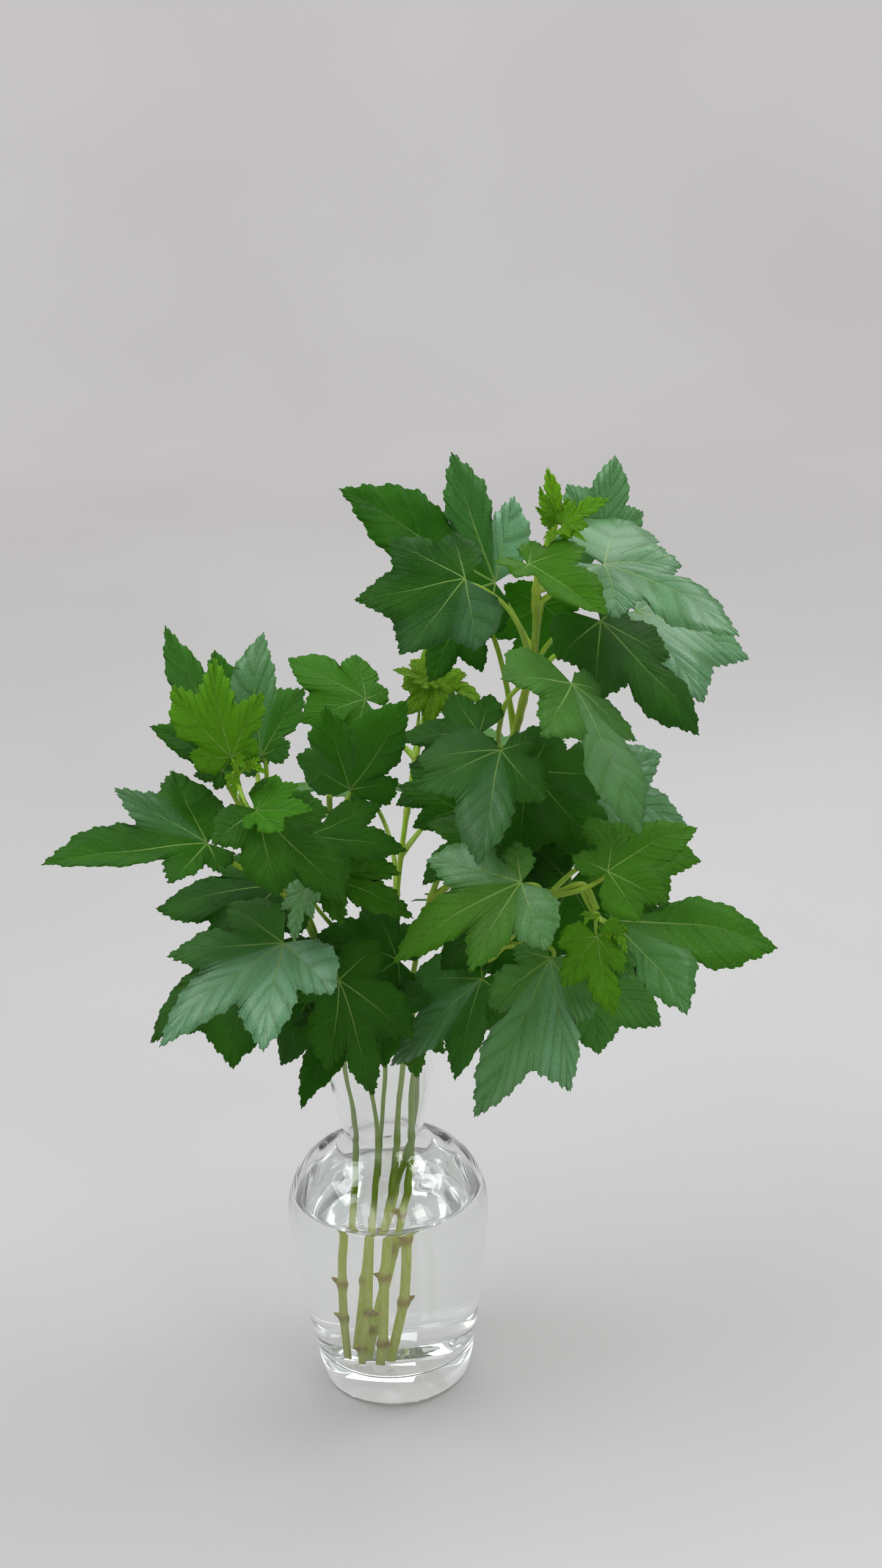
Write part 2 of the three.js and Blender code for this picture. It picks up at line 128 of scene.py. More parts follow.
# Each leafy stem: path from the foot up, radius at foot, neck and tip, age of its leaves from 0, mature,
# to 1, young, height and direction of the stubs on its soaked part, and its leaves as (share of the stem
# where the stalk leaves, base, tip, (facing, rise) of the upper side, form, age, tone from 0, deep green,
# to 1, lively green, gloss of the leaf or of each lobe from right to left, which also sets how strongly a
# pale bluish sheen is painted on its upper side). Facing is in degrees from the front towards the right,
# rise above level. An age above 1 turns a young leaf olive.
SPRIGS = {"a": dict(
    path=[
        (-12, -12, STEM_FOOT), (6, 0, 120), (15.5, 4, 155), (21, 6, 185), (27, 8.5, 222), (62, 16, 325),
        (82, 12, 390), (92, 4, 438), (93, -6, 470), (100, -9, 496),
    ],
    radius=(2.1, 1.8, 2.0), age=0.2, stubs=((43, 250), (88, 20)),
    leaves=[
        (0.86, (73, 14, 466), (-2.4, 0.4, 523.3), (-14, 38),
         own(DEEP, -76, 0.47, -39, 0.73, 39, 0.58, 102, 0.32), 0, 0.35, (1.7, 0.2, 0, 0, 0)),
        (0.84, (57, -42, 488), (3, -45, 481), (-9, 45),
         own(BROAD, -92, 0.51, -44, 0.8, 40, 0.92, 84, 0.69), 0, 0, (0, 0, 0, 0.1, 0.4)),
        (0.76, (55, 20, 446), (36, 20, 411), (-20, 20), MATURE, 0, 0.1, 0),
        (0.8, (98, 34, 446), (88, 54, 400), (10, 40), MATURE, 0.05, 0.3, 0),
        (0.96, (88, -37, 492), (123.9, -64.5, 474.5), (0, 80),
         own(HANGING, -125, 0.36, -70, 0.38, 66, 0.62, 125, 0.38), 0.4, 0.4, 0),
        (0.94, (129, 37, 473), (138.1, 60, 516.1), (34, 27),
         own(WIDE, -100, 0.5, -44, 0.66, 40, 0.78, 95, 0.6), 0.05, 0.7, 0.7),
        (0.92, (126, -16, 483), (188.7, -49.9, 455.1), (9, 76),
         own(BROAD, -135, 0.25, -55, 0.54, 37, 0.52, 104, 0.74), 0.05, 0.8, 0.9),
        (0.82, (145, 26, 443), (205, 31, 412), (33, 50),
         own(BROAD, -92, 0.6, -42, 0.88, 40, 0.6, 90, 0.45), 0.05, 0.8, 1.2),
        (0.78, (124, -14, 453), (172.3, -27.5, 394.7), (-19, 76),
         own(BROAD, -92, 0.5, -57, 0.62, 27, 0.55, 89, 0.33), 0, 0.2, 0),
        (0.7, (106, -62, 439), (137, -99.8, 374.2), (63, 29),
         own(DEEP, -99, 0.64, -63, 0.66, 40, 0.56, 76, 0.31), 0.15, 0.9, (0.1, 0.1, 0.5, 0.2, 0.1)),
    ],
), "b": dict(
    path=[
        (-21, -15, STEM_FOOT), (-18, -8, 120), (-15.2, -3, 155), (-20, -12, 220),
        (-30, -38, 300), (-48, -52, 345), (-58, -60, 388),
    ],
    radius=(1.9, 1.2, 1.6), age=0.3, stubs=((51, 190), (73, 150)),
    leaves=[
        (0.95, (-58, -28, 396), (-94.7, -4.6, 457.5), (-52, 20),
         own(DEEP, -98, 0.32, -29, 0.76, 35, 0.5, 78, 0.46), 0.1, 0.4, 0.1),
        (0.93, (-47, -50, 404), (-44.1, -28.4, 460.8), (-29, 27),
         own(BROAD, -70, 0.29, -39, 0.68, 47, 0.42, 116, 0.29), 0.1, 0.7, (0.2, 0.1, 0.7, 0.4, 0.4)),
        (0.9, (-66, -56, 399.5), (-99, -64, 428), (-10, 50),
         own(MATURE, -100, 0.4, -45, 0.7, 40, 0.4, 90, 0.25), 0, 0.3, 0),
        (0.82, (-75, -72, 368), (-152.2, -99.6, 374.9), (-14, 67),
         own(FOLDED, -86, 0.6, -46, 0.65, 46, 0.54, 81, 0.33), 0.02, 0.3, (0, 0.4, 0, 0, 0)),
        (0.84, (-48, -84, 390), (-7, -107.9, 348.2), (1, 49),
         own(BROAD, -95, 0.44, -31, 0.7, 47, 0.55, 107, 0.32), 0.1, 0.4, 0),
        (0.7, (-44, -36, 325), (-109.4, -28.4, 312.3), (-10, 67),
         own(WIDE, -112, 0.46, -40, 0.6, 50, 0.76, 112, 0.46), 0, 0, 0),
        (0.67, (-41, -81, 316), (-103.3, -115.7, 280.9), (-20, 60),
         own(MATURE, -80, 0.52, -37, 0.76, 46, 0.78, 93, 0.53), 0.05, 0.7, (0.1, 0.2, 1.5, 1.7, 1.6)),
        (0.52, (-54, -42, 295), (-115.2, -58.1, 250.1), (-32, 53),
         own(BROAD, -112, 0.52, -36, 0.61, 44, 0.86, 112, 0.52), 0.05, 0.1, 0),
        (0.5, (-34, -42, 262), (-50, -46, 226), (-25, 50), BROAD, 0, 0.1, 0),
    ],
), "c": dict(
    path=[
        (-3, -17, STEM_FOOT), (12, -9, 120), (14.6, -7, 155), (18, -10, 195), (27, -17, 232),
        (58, -46, 278), (92, -78, 332), (108, -88, 343), (114, -90, 331),
    ],
    radius=(2.2, 1.5, 1.6), age=0.4, stubs=((62, 10), (96, 200)),
    leaves=[
        (0.82, (77, -103, 354), (13.3, -107.8, 315.3), (-12, 52),
         own(MATURE, -104, 0.29, -43, 0.69, 36, 0.68, 87, 0.51), 0.25, 0.9, (0.2, 0.7, 0, 0.1, 0.6)),
        (0.92, (119, -100, 356), (164.4, -82.7, 369.4), (-3, 60),
         own(MATURE, -94, 0.63, -67, 0.67, 48, 0.48, 116, 0.4), 0.3, 0.45, 0),
        (0.88, (122, -62, 350), (169.5, -56.7, 338.7), (10, 59),
         own(BROAD, -112, 0.46, -45, 0.85, 48, 0.45, 112, 0.46), 0.25, 0.6, 0),
        (0.96, (121, -90, 324), (202.9, -91, 304.9), (10, 64),
         own(DEEP, -82, 0.44, -55, 0.75, 28, 0.33, 84, 0.18), 0.1, 0.8, (0.2, 0.4, 0, 0, 0)),
        (0.78, (91, -86, 303), (49.8, -103.8, 224.4), (-36, 42),
         own(HANGING, -80, 0.22, -30, 0.45, 44, 0.76, 72, 0.48), 0.25, 1, (0.3, 0.3, 0.9, 1.4, 0.6)),
        (0.72, (108, -56, 278), (148.1, -59.3, 246.3), (10, 45),
         own(BROAD, -112, 0.52, -49, 0.83, 50, 0.82, 112, 0.52), 0.1, 0.9, 0.2),
        (0.66, (57, -56, 277), (7.6, -53.4, 227), (-3, 69),
         own(MATURE, -112, 0.46, -43, 0.73, 44, 0.77, 112, 0.46), 0.05, 0.3, (0, 0.2, 0.8, 0.1, 0)),
        (0.74, (104, -44, 324), (88, -46, 277), (10, 45), BROAD, 0, 0.1, 0),
        (0.6, (62, -12, 240), (69, -14, 218), (10, 45), WIDE, 0, 0.2, 0),
    ],
), "d": dict(
    path=[
        (-15, 1, STEM_FOOT), (-5, 9, 120), (-1, 11, 155), (5, 17, 215),
        (16, 34, 298), (26, 58, 345), (37, 78, 384),
    ],
    radius=(1.6, 1.2, 1.5), age=0.5, stubs=((68, 90),),
    leaves=[
        (0.9, (2, 74, 382), (-39.3, 88.1, 403.1), (-24, 71),
         own(WIDE, -115, 0.36, -57, 0.66, 55, 0.85, 100, 0.5), 0.6, 0, 0),
        (0.84, (44.8, 34, 346.9), (16, 28, 339.3), (-10, 40), BROAD, 0, 0, 0),
        (0.82, (30, 104, 362), (36, 142, 350), (180, 60), MATURE, 0.2, 0.4, 0.3),
        (0.76, (60, 84, 340), (112, 112, 338), (120, 50), MATURE, 0.3, 0.6, 0.3),
        (0.7, (-2, 78, 330), (-56, 112, 312), (210, 50), BROAD, 0.3, 0.6, 0.3),
        (0.62, (54, 70, 258), (84, 116, 226), (150, 45), BROAD, 0.2, 0.5, 0.3),
        (0.62, (-18, 52, 285), (-72, 62, 246), (230, 50), BROAD, 0.2, 0.5, 0.3),
    ],
), "e": dict(
    path=[
        (-8, -22, STEM_FOOT), (3, -10, 120), (7, -9, 155), (14, -12, 215), (28, -16, 290),
        (44, -20, 335), (64, -28, 376), (72, -34, 396),
    ],
    radius=(2.2, 1.3, 1.6), age=0.25, stubs=((37, 320), (79, 160)),
    leaves=[
        (0.97, (71, -55, 403), (56.3, -104.1, 364.9), (-15, 41),
         own(BROAD, -84, 0.68, -59, 0.73, 41, 0.61, 120, 0.3), 0.05, 0.4, (0.1, 0.1, 0.35, 0.05, 0.05)),
        (0.93, (61, -30, 402), (20.2, -8.9, 392.5), (-20, 58),
         own(MATURE, -91, 0.54, -50, 0.76, 29, 0.84, 112, 0.46), 0, 0.1, 0),
        (0.88, (86, -24, 378), (122, -44, 336), (10, 50), WIDE, 0.05, 0.3, 0),
        (0.8, (118, 4, 350), (170.3, 11.2, 327.5), (9, 47),
         own(MATURE, -112, 0.46, -50, 0.76, 43, 0.89, 112, 0.46), 0.1, 0.6, 1),
        (0.74, (64, -36, 346), (29, -60, 334), (-10, 50), MATURE, 0.05, 0.3, 0),
        (0.66, (49, -8, 351), (18, 2, 362), (-20, 55), MATURE, 0.05, 0.2, 0),
        (0.68, (84, -34, 326), (106, -26, 354), (10, 45), YOUNG, 0.45, 0.6, 0),
        (0.42, (21, -40, 246), (21, -43.8, 212.9), (0, 40), YOUNG, 0.2, 0.4, 0),
        (0.55, (68, -36, 301), (36, -48, 279), (0, 50), WIDE, 0, 0.1, 0),
        (0.72, (104, 0, 332), (107, 1, 309), (10, 45), WIDE, 0, 0.2, 0),
    ],
), "f": dict(
    path=[
        (-15, -21, STEM_FOOT), (-7, -15, 120), (-3, -13, 155), (-4, -16, 185), (-8, -18, 215),
        (-14, -24, 290), (-17, -30, 340), (-16, -30, 372),
    ],
    radius=(1.7, 1.1, 1.5), age=0.25, stubs=((33, 215), (58, 350)),
    leaves=[
        (0.95, (-6, -10, 366), (25.6, -33.9, 423.2), (-4, 34),
         own(DEEP, -108, 0.25, -28, 0.51, 49, 0.68, 112, 0.53), 0.05, 0.3, 0),
        (0.9, (-26, -60, 364), (22.7, -65.8, 356.7), (7, 62),
         own(MATURE, -116, 0.31, -50, 0.76, 36, 0.83, 82, 0.24), 0.05, 0.55, 0),
        (0.76, (-22, -68, 346), (24.2, -84.5, 327.9), (0, 50),
         own(YOUNG, -85, 0.4, -45, 0.6, 23, 0.78, 95, 0.36), 0.15, 0.5, 0),
        (0.76, (-28, -80, 345), (-35, -94, 322), (-30, 55),
         own(TENDER, -70, 0.4, -35, 0.6, 35, 0.6, 70, 0.4), 0.6, 1, 1.1),
        (0.66, (-15, -78, 292), (-0.1, -93.5, 232.7), (11, 41),
         own(MATURE, -112, 0.46, -24, 0.73, 35, 0.79, 112, 0.46), 0.05, 0.3, 0),
        (0.5, (0, -46, 264), (-38, -94.6, 229), (-34, 38),
         own(MATURE, -112, 0.44, -38, 0.62, 45, 0.66, 112, 0.46), 0, 0.2, 0),
        (0.6, (14, -38, 281), (-27, -48, 302), (0, 45), WIDE, 0, 0, 0),
    ],
)}

# Young pale shoots at the tips: the joint that they grow from, and their small leaves as (base, tip,
# facing, form, tone)
SHOOTS = {"a": dict(
    joint=(101, -10, 497), age=1,
    leaves=[
        ((104, -11, 504), (99.7, -6, 531), (0, 20), own(YOUNG, -80, 0.3, -30, 0.5, 24, 0.62, 70, 0.34), 0.8),
        ((106, -16, 504), (128.2, -24, 519.3), (20, 50),
         own(TENDER, -75, 0.36, -34, 0.6, 30, 0.5, 80, 0.3), 0.5),
        ((102.5, -9, 505), (95.9, -4, 521.3), (-20, 20), BUD, 0.6),
        ((100.6, -14, 504), (93.9, -20, 512.7), (-20, 40), BUD, 0.4),
        ((104.7, -20, 503), (116.5, -28, 499.5), (10, 60), BUD, 1),
        ((101, -20, 502), (98, -29, 497), (-10, 50), BUD, 0.9),
    ],
), "b": dict(
    joint=(-59, -63, 398), age=1,
    leaves=[
        ((-60, -70, 412), (-64.9, -62.6, 461.5), (-8, 36),
         own(TENDER, -68, 0.33, -37, 0.75, 28, 0.91, 75, 0.41), 0.35),
        ((-49, -87, 391), (-20.5, -101, 396.4), (5, 62),
         own(TENDER, -80, 0.4, -33, 0.85, 40, 0.75, 82, 0.7), 0),
        ((-54.5, -72, 409), (-42.2, -84, 408.5), (0, 60), BUD, 1),
        ((-60, -76, 406), (-57.9, -84, 396), (-10, 40), BUD, 0.9),
        ((-57.7, -74, 412), (-51.5, -86, 413), (0, 40), BUD, 0.7),
    ],
), "c": dict(
    joint=(114, -94, 330), age=1,
    leaves=[
        ((112.4, -112, 327.6), (119.3, -128, 291.4), (-1, 45),
         own(TENDER, -88, 0.5, -46, 0.75, 26, 0.55, 92, 0.35), 0.3),
        ((117, -104, 330), (126, -122, 322), (20, 60), BUD, 0.9),
        ((111, -102, 334), (106, -116, 336), (-10, 60), BUD, 1),
    ],
), "d": dict(
    joint=(38, 79, 386), age=1.6,
    leaves=[
        ((36, 78, 391.4), (17.5, 72, 399.3), (-20, 55), own(TENDER, -60, 0.5, -30, 0.6, 30, 0.6, 60, 0.5), 0),
        ((41.3, 78, 391.2), (65.8, 74, 376.2), (20, 60),
         own(TENDER, -85, 0.3, -30, 0.5, 35, 0.6, 85, 0.3), 0.3),
        ((38, 80, 392), (35.3, 90, 405), (-20, 30), own(TENDER, -80, 0.6, -40, 0.7, 40, 0.9, 80, 0.8), 0.7),
        ((38.7, 76, 392.8), (34.6, 64, 366.1), (-5, 35),
         own(TENDER, -70, 0.6, -30, 0.85, 30, 0.85, 70, 0.6), 0.2),
        ((41.4, 82, 391.8), (48.9, 92, 400), (10, 30), BUD, 0.9),
    ],
)}


def mm(value):
    """Millimetres as metres: a number, or the x, y and z of a point."""
    return value * 0.001 if isinstance(value, (int, float)) else Vector(value) * 0.001


# Node trees


class Wire:
    """A node's output. Arithmetic on it adds Math nodes to its tree."""

    def __init__(self, graph, socket):
        self.graph = graph
        self.socket = socket

    def other(self, output):
        return Wire(self.graph, self.socket.node.outputs[output])

    def maths(self, operation, *values):
        return self.graph.add("ShaderNodeMath", {"operation": operation}, dict(enumerate(values)))

    def __add__(self, value):
        return self.maths("ADD", self, value)

    def __sub__(self, value):
        return self.maths("SUBTRACT", self, value)

    def __rsub__(self, value):
        return self.maths("SUBTRACT", value, self)

    def __mul__(self, value):
        return self.maths("MULTIPLY", self, value)

    def __abs__(self):
        return self.maths("ABSOLUTE", self)

    __radd__ = __add__
    __rmul__ = __mul__

    def fraction(self):
        return self.maths("FRACT", self)

    def ramp(self, low, high):
        """0 below low, 1 above high, and smooth between them."""
        settings = {"interpolation_type": "SMOOTHSTEP"}
        return self.graph.add("ShaderNodeMapRange", settings, {0: self, 1: low, 2: high})


class Graph:
    """A shader or geometry tree under construction."""

    def __init__(self, tree):
        self.tree = tree

    def add(self, kind, settings=None, inputs=None, output=0):
        """Adds a node, sets its settings and then its sockets, and returns one output."""
        node = self.tree.nodes.new(kind)
        for name, value in (settings or {}).items():
            setattr(node, name, value)
        for key, value in (inputs or {}).items():
            socket = node.inputs[key]
            if isinstance(value, Wire):
                self.tree.links.new(value.socket, socket)
            else:
                socket.default_value = value
        return Wire(self, node.outputs[output]) if node.outputs else node

    def attribute(self, name):
        return self.add("ShaderNodeAttribute", {"attribute_name": name}, output="Fac")

    def place(self):
        return self.add("ShaderNodeTexCoord", output="Object")

    def noise(self, scale, detail=2):
        sockets = {"Vector": self.place(), "Scale": scale, "Detail": detail}
        return self.add("ShaderNodeTexNoise", None, sockets)

    def blend(self, factor, first, second):
        """A colour between two, which are colours or wires."""
        values = {0: factor, 6: opaque(first), 7: opaque(second)}
        return self.add("ShaderNodeMix", {"data_type": "RGBA"}, values, output=2)

    def bump(self, height, distance, strength):
        sockets = {"Height": height, "Distance": distance, "Strength": strength}
        return self.add("ShaderNodeBump", None, sockets)

    def surface(self, shader):
        self.add("ShaderNodeOutputMaterial", None, {"Surface": shader})

    def principled(self, sockets):
        return self.add("ShaderNodeBsdfPrincipled", None, sockets)


def opaque(colour):
    return colour if isinstance(colour, Wire) else (*colour, 1)


def material(name):
    """An empty material and the graph of its tree."""
    finish = bpy.data.materials.new(name)
    finish.use_nodes = True
    finish.node_tree.nodes.clear()
    return finish, Graph(finish.node_tree)


# Finishes


def leaf_finish():
    """Dark glossy green above, with a painted pale bluish sheen where a leaf is glossy, paler and duller
    below, with pale veins. Young leaves are yellow-green.
    """
    finish, graph = material("raspberry_leaf")
    age = graph.attribute("age")
    tone = graph.attribute("tone")
    upper = graph.attribute("upper")
    gloss_and_painted_sheen = graph.attribute("gloss_and_painted_sheen")
    edge = graph.attribute("edge")
    vein = graph.attribute("vein")
    reach = graph.attribute("reach")
    rib_gap = 0.5 - abs(graph.attribute("ribs").fraction() - 0.5)
    main = (1 - vein.ramp(0.6, 1.5)) * (1 - reach.ramp(0.25, 0.85) * 0.8)
    spread_out = reach.ramp(0.04, 0.3)
    side = (1 - rib_gap.ramp(0.01, 0.05)) * (1 - edge * 0.6) * vein.ramp(0.8, 2.0) * spread_out
    blotch = graph.noise(45, 3)
    fine = graph.noise(420, 2)
    cells = {"Vector": graph.place(), "Scale": 460}
    net = graph.add("ShaderNodeTexVoronoi", {"feature": "DISTANCE_TO_EDGE"}, cells).ramp(0.0, 0.14)

    deep = graph.blend(blotch.ramp(0.35, 0.68), (0.010, 0.047, 0.003), (0.023, 0.088, 0.005))
    bright = graph.blend(blotch.ramp(0.35, 0.68), (0.028, 0.120, 0.008), (0.046, 0.165, 0.010))
    lively = graph.blend(tone, deep, bright)
    dull = graph.noise(15, 1).ramp(0.5, 0.75) * 0.45
    lively = graph.blend(dull, lively, (0.045, 0.075, 0.028))
    young = graph.blend(tone, (0.04, 0.17, 0.001), (0.15, 0.34, 0.002))
    above = graph.blend(age, lively, young)
    above = graph.blend(age - 1, above, (0.17, 0.25, 0.008))
    # Painted sheen: the gloss value also paints the upper side pale bluish green, strongest between the side
    # veins, as a bright window's reflection would look
    painted_sheen_between_ribs = rib_gap.ramp(0.02, 0.3) * spread_out
    above = graph.blend(gloss_and_painted_sheen * (0.16 + blotch * 0.34 + painted_sheen_between_ribs * 0.2), above, (0.22, 0.46, 0.27))
    above = graph.blend((1 - net) * 0.12, above, (0.05, 0.15, 0.03))
    above = graph.blend(side * 0.4, above, (0.07, 0.19, 0.035))
    above = graph.blend(main * 0.85, above, (0.27, 0.42, 0.10))
    below = graph.blend(blotch, (0.06, 0.125, 0.035), (0.09, 0.17, 0.05))
    below = graph.blend(age * 0.7, below, (0.18, 0.36, 0.04))
    below = graph.blend(side * 0.6 + (1 - net) * 0.2, below, (0.14, 0.23, 0.085))
    below = graph.blend(main * 0.8, below, (0.2, 0.3, 0.11))
    colour = graph.blend(upper, below, above)

    roughness = 0.64 - upper * (0.1 + gloss_and_painted_sheen * 0.14) + (blotch - 0.5) * 0.2 + (fine - 0.5) * 0.1
    relief = rib_gap.ramp(0, 0.25) * spread_out * 0.55 + net * 0.2 + fine * 0.12 + vein.ramp(0, 1.6) * 0.35
    normal = graph.bump(relief, 0.0009, 0.9)
    body = graph.principled({
        "Base Color": colour, "Roughness": roughness, "Normal": normal, "Specular IOR Level": 0.13,
        "Coat Weight": upper * (0.06 + gloss_and_painted_sheen.ramp(0, 1.1) * 0.9) * (1 - age * 0.6), "Coat Roughness": 0.36,
    })
    through_blade = graph.blend(age, (0.3, 0.78, 0.05), (0.55, 0.95, 0.04))
    light = graph.add("ShaderNodeBsdfTranslucent", None, {"Color": through_blade, "Normal": normal})
    graph.surface(graph.add("ShaderNodeMixShader", None, {0: 0.3, 1: body, 2: light}))
    return finish


def stem_finish():
    """Yellow-green stems, brown at the joints, with fine lengthwise streaks, and painted light under water:
    near-white yellow-green where they stand in the water.
    """
    finish, graph = material("raspberry_stem")
    joint = graph.attribute("joint")
    age = graph.attribute("age")
    under_water = graph.attribute("under_water")
    streaks = graph.add("ShaderNodeMapping", None, {"Vector": graph.place(), "Scale": (1, 1, 0.12)})
    grain = graph.add("ShaderNodeTexNoise", None, {"Vector": streaks, "Scale": 900, "Detail": 3})
    blotch = graph.noise(120, 3)
    green = graph.blend(grain.ramp(0.3, 0.7), (0.20, 0.31, 0.015), (0.31, 0.44, 0.04))
    green = graph.blend(age, green, (0.33, 0.56, 0.03))
    # Painted light: under water the stems are painted near-white yellow-green, standing in for light that
    # reaches them through the glass and water
    painted_underwater_light = graph.blend(grain.ramp(0.3, 0.7), (0.74, 0.88, 0.08), (0.9, 0.98, 0.28))
    green = graph.blend(under_water, green, painted_underwater_light)
    brown = graph.blend(blotch, (0.34, 0.16, 0.02), (0.56, 0.34, 0.05))
    colour = graph.blend(joint * blotch.ramp(0.2, 0.55) * 0.85, green, brown)
    normal = graph.bump(grain * 0.7 + blotch * 0.3, 0.0003, 0.6)
    graph.surface(graph.principled({
        "Base Color": colour, "Roughness": 0.4 + blotch * 0.15, "Normal": normal,
        "Subsurface Weight": 0.15, "Subsurface Radius": (0.4, 0.7, 0.15), "Subsurface Scale": 0.002,
    }))
    return finish


def bristle_finish():
    """Soft pale hairs whose tint varies along the stem."""
    finish, graph = material("raspberry_bristle")
    tint = graph.noise(300)
    colour = graph.blend(tint, (0.3, 0.36, 0.16), (0.42, 0.4, 0.22))
    graph.surface(graph.principled({"Base Color": colour, "Roughness": 0.6}))
    return finish


def glass_finish():
    """Clear pressed glass, faintly uneven, with a slight green cast in its depth."""
    finish, graph = material("vase_glass")
    normal = graph.bump(graph.noise(26, 1), 0.0004, 0.25)
    graph.surface(graph.principled({
        "Base Color": (0.985, 0.992, 0.988, 1), "Roughness": 0.0,
        "Normal": normal, "IOR": 1.5, "Transmission Weight": 1.0,
    }))
    return finish


def water_finish():
    """Still clear water with a barely rippled skin."""
    finish, graph = material("vase_water")
    normal = graph.bump(graph.noise(60, 1), 0.0002, 0.15)
    graph.surface(graph.principled({
        "Base Color": (0.985, 0.99, 0.985, 1), "Roughness": 0.0,
        "Normal": normal, "IOR": 1.333, "Transmission Weight": 1.0,
    }))
    return finish


def stage_finish(name, low, high):
    finish, graph = material(name)
    colour = graph.blend(graph.noise(1.3, 3).ramp(0.3, 0.7), low, high)
    normal = graph.bump(graph.noise(240, 4), 0.0004, 0.15)
    graph.surface(graph.principled({
        "Base Color": colour, "Roughness": 0.72, "Normal": normal,
        "Emission Color": graph.blend(graph.attribute("glow"), (0, 0, 0), colour), "Emission Strength": 1,
    }))
    return finish


# Meshes


def new_mesh(name, points, edges, faces, values):
    """A mesh with a value for each point under each name."""
    mesh = bpy.data.meshes.new(name)
    mesh.from_pydata([tuple(p) for p in points], edges, faces)
    mesh.update()
    for key, row in values.items():
        mesh.attributes.new(key, "FLOAT", "POINT").data.foreach_set("value", np.asarray(row, np.float32))
    return mesh


def linked(name, data):
    """A new object in the scene."""
    made = bpy.data.objects.new(name, data)
    bpy.context.scene.collection.objects.link(made)
    return made


def smooth_piece(name, points, faces, finish, values=()):
    """A smooth mesh object at the origin, with one finish."""
    mesh = new_mesh(name, points, [], faces, dict(values))
    mesh.shade_smooth()
    mesh.materials.append(finish)
    return linked(name, mesh)


def declare(piece, slot, *nodes):
    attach(piece, "root")
    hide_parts(*nodes)


def unevenness(angle, height):
    """How far the hand-made glass strays in or out, from -1 to 1, at a height in metres."""
    return (math.sin(2 * angle + 70 * height) + math.sin(5 * angle - 95 * height + 1)
            + math.sin(3 * angle + 160 * height + 2)) / 3


def lathe(outline, sides):
    """Points and faces of rows of (radius, height, stray), bottom first, turned about Z."""
    points, faces, rings = [], [], []
    for radius, height, stray in outline:
        if radius < 1e-9:
            rings.append([len(points)] * sides)
            points.append((0, 0, height))
            continue
        rings.append(list(range(len(points), len(points) + sides)))
        for k in range(sides):
            angle = 2 * math.pi * k / sides
            r = radius + stray * unevenness(angle, height)
            points.append((r * math.cos(angle), r * math.sin(angle), height))
    for lower, higher in zip(rings, rings[1:]):
        for k in range(sides):
            j = (k + 1) % sides
            corners = dict.fromkeys((lower[k], lower[j], higher[j], higher[k]))
            if len(corners) > 2:
                faces.append(tuple(corners))
    return points, faces


# Curves


def catmull_rom(points, t):
    """A point of the uniform spline through the points, at t from 0 to 1."""
    last = len(points) - 1
    whole = min(int(last * t), last - 1)
    w = last * t - whole
    p0, p1, p2, p3 = (np.array(points[min(max(whole + k, 0), last)], float) for k in (-1, 0, 1, 2))
    v0, v1 = (p2 - p0) / 2, (p3 - p1) / 2
    return (2 * p1 - 2 * p2 + v0 + v1) * w ** 3 + (3 * p2 - 3 * p1 - 2 * v0 - v1) * w ** 2 + v0 * w + p1


def through(points, pieces):
    """A centripetal spline through points in space, cut into pieces of equal length."""
    p = [np.array(q, float) for q in points]
    p = [2 * p[0] - p[1], *p, 2 * p[-1] - p[-2]]
    dense = []
    for i in range(1, len(p) - 2):
        x0, x1, x2, x3 = p[i - 1:i + 3]
        d0, d1, d2 = (math.sqrt(np.linalg.norm(b - a)) for a, b in ((x0, x1), (x1, x2), (x2, x3)))
        m1 = d1 * ((x1 - x0) / d0 - (x2 - x0) / (d0 + d1) + (x2 - x1) / d1)
        m2 = d1 * ((x2 - x1) / d1 - (x3 - x1) / (d1 + d2) + (x3 - x2) / d2)
        for t in np.linspace(0, 1, 24, endpoint=False):
            dense.append(x1 + m1 * t + (3 * x2 - 3 * x1 - 2 * m1 - m2) * t ** 2
                         + (2 * x1 - 2 * x2 + m1 + m2) * t ** 3)
    dense = np.array([*dense, p[-2]])
    run = np.concatenate([[0], np.cumsum(np.linalg.norm(np.diff(dense, axis=0), axis=1))])
    places = np.linspace(0, run[-1], pieces + 1)
    return np.stack([np.interp(places, run, dense[:, k]) for k in range(3)], axis=1)


# Leaves


def saw(turns):
    """A rounded tooth that leans forwards, 0 at each whole turn and 1 at its crown."""
    return math.sin(math.pi * (turns % 1) ** 1.6) ** 0.65


def lobe_shape(s):
    """The half width of a lobe beside its widest, at a share of its length."""
    return float(np.interp(s, *zip(*LOBE_SHAPE)))


